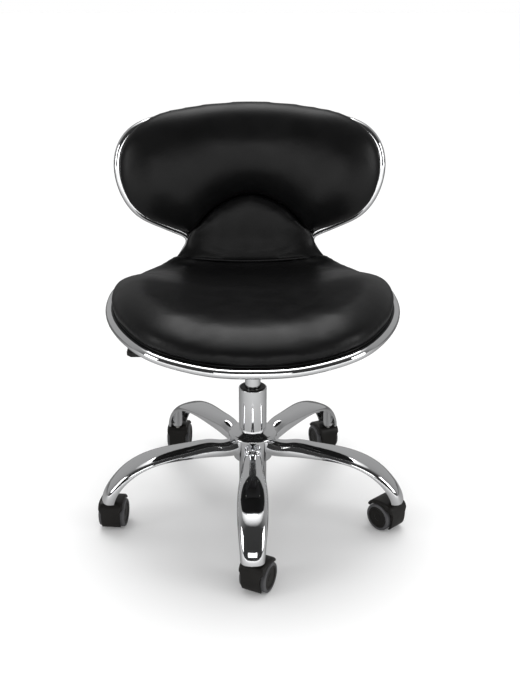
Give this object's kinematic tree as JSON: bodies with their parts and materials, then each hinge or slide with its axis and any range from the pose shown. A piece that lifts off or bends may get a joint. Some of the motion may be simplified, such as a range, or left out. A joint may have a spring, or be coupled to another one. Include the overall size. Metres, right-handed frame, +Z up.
{
  "type": "rolling stylist stool",
  "caption": "Low-back rolling stool: padded seat and back on a continuous bent shell with bright edge trim, a gas-lift column with a side lever, and a star base on swivel casters.",
  "frame": {"origin": "on the column axis at floor level, under the middle of the star base", "axes": "+Z up; -Y the way the sitter faces; +X to the sitter's left hand"},
  "size_m": [0.5508, 0.5524, 0.71],
  "materials": {
    "chrome": "polished",
    "black_steel": "satin",
    "zinc_steel": "satin",
    "plywood": "matte",
    "black_vinyl": "satin",
    "black_nylon": "satin",
    "grey_polyurethane": "satin"
  },
  "bodies": {
    "base": {"base_hub": "chrome", "hub_cap_ring": "chrome", "front_leg": "chrome", "right_leg": "chrome", "rear_right_leg": "chrome", "rear_left_leg": "chrome", "left_leg": "chrome", "leg_sockets": "chrome", "caster_stems": "zinc_steel", "stem_grip_rings": "zinc_steel", "column_tube": "chrome", "guide_bushing": "black_nylon", "thrust_bearing": "zinc_steel"},
    "lift_rod": {"piston_rod": "zinc_steel", "rod_clip": "zinc_steel"},
    "seat": {"pressure_cylinder": "chrome", "cone_socket": "black_steel", "lever_bracket": "black_steel", "lever_pivot_pin": "zinc_steel", "seat_plate": "black_steel", "mount_bolts": "zinc_steel", "seat_back_shell": "plywood", "outer_cover": "black_vinyl", "edge_trim": "chrome", "seat_cushion": "black_vinyl", "waist_pad": "black_vinyl", "back_cushion": "black_vinyl"},
    "lever": {"lever_rod": "black_steel", "lever_paddle": "black_nylon"},
    "release": {"release_pin": "zinc_steel"},
    "front_swivel": {"front_hood": "black_nylon", "front_axle": "zinc_steel"},
    "front_left_roller": {"front_left_wheel": "black_nylon", "front_left_tread": "grey_polyurethane"},
    "front_right_roller": {"front_right_wheel": "black_nylon", "front_right_tread": "grey_polyurethane"},
    "right_swivel": {"right_hood": "black_nylon", "right_axle": "zinc_steel"},
    "right_left_roller": {"right_left_wheel": "black_nylon", "right_left_tread": "grey_polyurethane"},
    "right_right_roller": {"right_right_wheel": "black_nylon", "right_right_tread": "grey_polyurethane"},
    "rear_right_swivel": {"rear_right_hood": "black_nylon", "rear_right_axle": "zinc_steel"},
    "rear_right_left_roller": {"rear_right_left_wheel": "black_nylon", "rear_right_left_tread": "grey_polyurethane"},
    "rear_right_right_roller": {"rear_right_right_wheel": "black_nylon", "rear_right_right_tread": "grey_polyurethane"},
    "rear_left_swivel": {"rear_left_hood": "black_nylon", "rear_left_axle": "zinc_steel"},
    "rear_left_left_roller": {"rear_left_left_wheel": "black_nylon", "rear_left_left_tread": "grey_polyurethane"},
    "rear_left_right_roller": {"rear_left_right_wheel": "black_nylon", "rear_left_right_tread": "grey_polyurethane"},
    "left_swivel": {"left_hood": "black_nylon", "left_axle": "zinc_steel"},
    "left_left_roller": {"left_left_wheel": "black_nylon", "left_left_tread": "grey_polyurethane"},
    "left_right_roller": {"left_right_wheel": "black_nylon", "left_right_tread": "grey_polyurethane"}
  },
  "joints": [
    {"name": "seat_swivel", "type": "hinge", "parent": "base", "child": "lift_rod", "pos_m": [0, 0, 0.1], "axis": [0, 0, 1], "continuous": true},
    {"name": "seat_height", "type": "slide", "parent": "lift_rod", "child": "seat", "axis": [0, 0, 1], "range_m": [-0.025, 0.075]},
    {"name": "lever_lift", "type": "hinge", "parent": "seat", "child": "lever", "pos_m": [-0.036, 0, 0.333], "axis": [0, 1, 0], "range_deg": [0, 5], "stiffness_Nm_per_rad": 2, "springref_deg": -14.32},
    {"name": "pin_press", "type": "slide", "parent": "seat", "child": "release", "axis": [0, 0, -1], "range_m": [0, 0.00315]},
    {"name": "front_caster_swivel", "type": "hinge", "parent": "base", "child": "front_swivel", "pos_m": [-0.00696, -0.26591, 0.05], "axis": [0, 0, 1], "continuous": true},
    {"name": "front_left_wheel_spin", "type": "hinge", "parent": "front_swivel", "child": "front_left_roller", "pos_m": [0.00227, -0.24817, 0.025], "axis": [0.887, -0.4617, 0], "continuous": true},
    {"name": "front_right_wheel_spin", "type": "hinge", "parent": "front_swivel", "child": "front_right_roller", "pos_m": [0.00227, -0.24817, 0.025], "axis": [0.887, -0.4617, 0], "continuous": true},
    {"name": "right_caster_swivel", "type": "hinge", "parent": "base", "child": "right_swivel", "pos_m": [0.25074, -0.08879, 0.05], "axis": [0, 0, 1], "continuous": true},
    {"name": "right_left_wheel_spin", "type": "hinge", "parent": "right_swivel", "child": "right_left_roller", "pos_m": [0.23802, -0.07336, 0.025], "axis": [0.7716, 0.6361, 0], "continuous": true},
    {"name": "right_right_wheel_spin", "type": "hinge", "parent": "right_swivel", "child": "right_right_roller", "pos_m": [0.23802, -0.07336, 0.025], "axis": [0.7716, 0.6361, 0], "continuous": true},
    {"name": "rear_right_caster_swivel", "type": "hinge", "parent": "base", "child": "rear_right_swivel", "pos_m": [0.16193, 0.21103, 0.05], "axis": [0, 0, 1], "continuous": true},
    {"name": "rear_right_left_wheel_spin", "type": "hinge", "parent": "rear_right_swivel", "child": "rear_right_left_roller", "pos_m": [0.15493, 0.22976, 0.025], "axis": [0.9367, 0.3502, 0], "continuous": true},
    {"name": "rear_right_right_wheel_spin", "type": "hinge", "parent": "rear_right_swivel", "child": "rear_right_right_roller", "pos_m": [0.15493, 0.22976, 0.025], "axis": [0.9367, 0.3502, 0], "continuous": true},
    {"name": "rear_left_caster_swivel", "type": "hinge", "parent": "base", "child": "rear_left_swivel", "pos_m": [-0.15066, 0.21922, 0.05], "axis": [0, 0, 1], "continuous": true},
    {"name": "rear_left_left_wheel_spin", "type": "hinge", "parent": "rear_left_swivel", "child": "rear_left_left_roller", "pos_m": [-0.1484, 0.23909, 0.025], "axis": [0.9936, -0.1132, 0], "continuous": true},
    {"name": "rear_left_right_wheel_spin", "type": "hinge", "parent": "rear_left_swivel", "child": "rear_left_right_roller", "pos_m": [-0.1484, 0.23909, 0.025], "axis": [0.9936, -0.1132, 0], "continuous": true},
    {"name": "left_caster_swivel", "type": "hinge", "parent": "base", "child": "left_swivel", "pos_m": [-0.25505, -0.07555, 0.05], "axis": [0, 0, 1], "continuous": true},
    {"name": "left_left_wheel_spin", "type": "hinge", "parent": "left_swivel", "child": "left_left_roller", "pos_m": [-0.25278, -0.05568, 0.025], "axis": [0.9936, -0.1132, 0], "continuous": true},
    {"name": "left_right_wheel_spin", "type": "hinge", "parent": "left_swivel", "child": "left_right_roller", "pos_m": [-0.25278, -0.05568, 0.025], "axis": [0.9936, -0.1132, 0], "continuous": true}
  ],
  "couplings": [
    {"joint": "pin_press", "follows": "lever_lift", "m_per_rad": 0.036}
  ]
}
